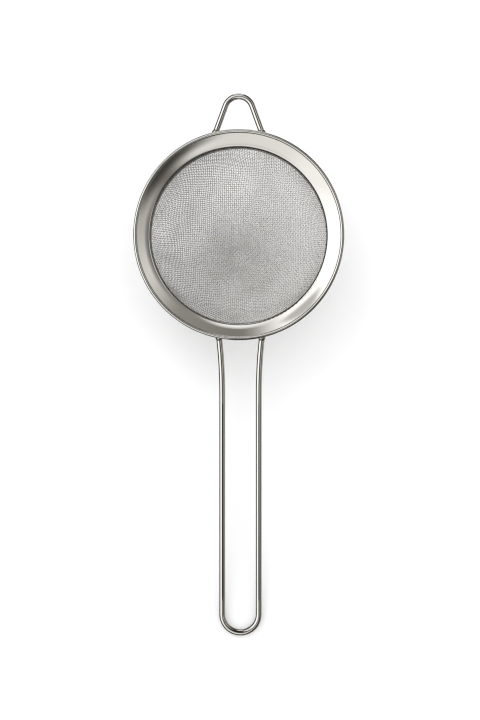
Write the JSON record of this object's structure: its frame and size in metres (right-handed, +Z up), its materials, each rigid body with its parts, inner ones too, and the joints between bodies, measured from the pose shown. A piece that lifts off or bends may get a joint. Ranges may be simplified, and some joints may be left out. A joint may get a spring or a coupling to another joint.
{
  "type": "tea strainer",
  "caption": "Tea strainer lying on its bowl: fine steel wire cloth in a dished rim band, with a long U-shaped wire handle and a short wire rest loop opposite it.",
  "frame": {"origin": "bottom centre of the bounding box of the strainer lying on a table: z is 0 at the table, which the bowl and the handle end touch, and x is 0 on the axis of the bowl", "axes": "+X to the right, +Y from the handle towards the rest loop, +Z up. The rim plane is tilted 10.78 degrees about X, handle end down"},
  "size_m": [0.075, 0.1898, 0.0379],
  "materials": {
    "rim_steel": "satin, spun in circles",
    "ring_steel": "satin",
    "mesh_steel": "bright woven wire",
    "wire_steel": "polished",
    "weld_steel": "satin"
  },
  "bodies": {
    "root": {"rim_band": "rim_steel", "mesh_clamp_ring": "ring_steel", "mesh_bowl": "mesh_steel", "handle_wire": "wire_steel", "rest_loop": "wire_steel", "handle_weld_left": "weld_steel", "handle_weld_right": "weld_steel", "rest_weld_left": "weld_steel", "rest_weld_right": "weld_steel"}
  },
  "joints": []
}
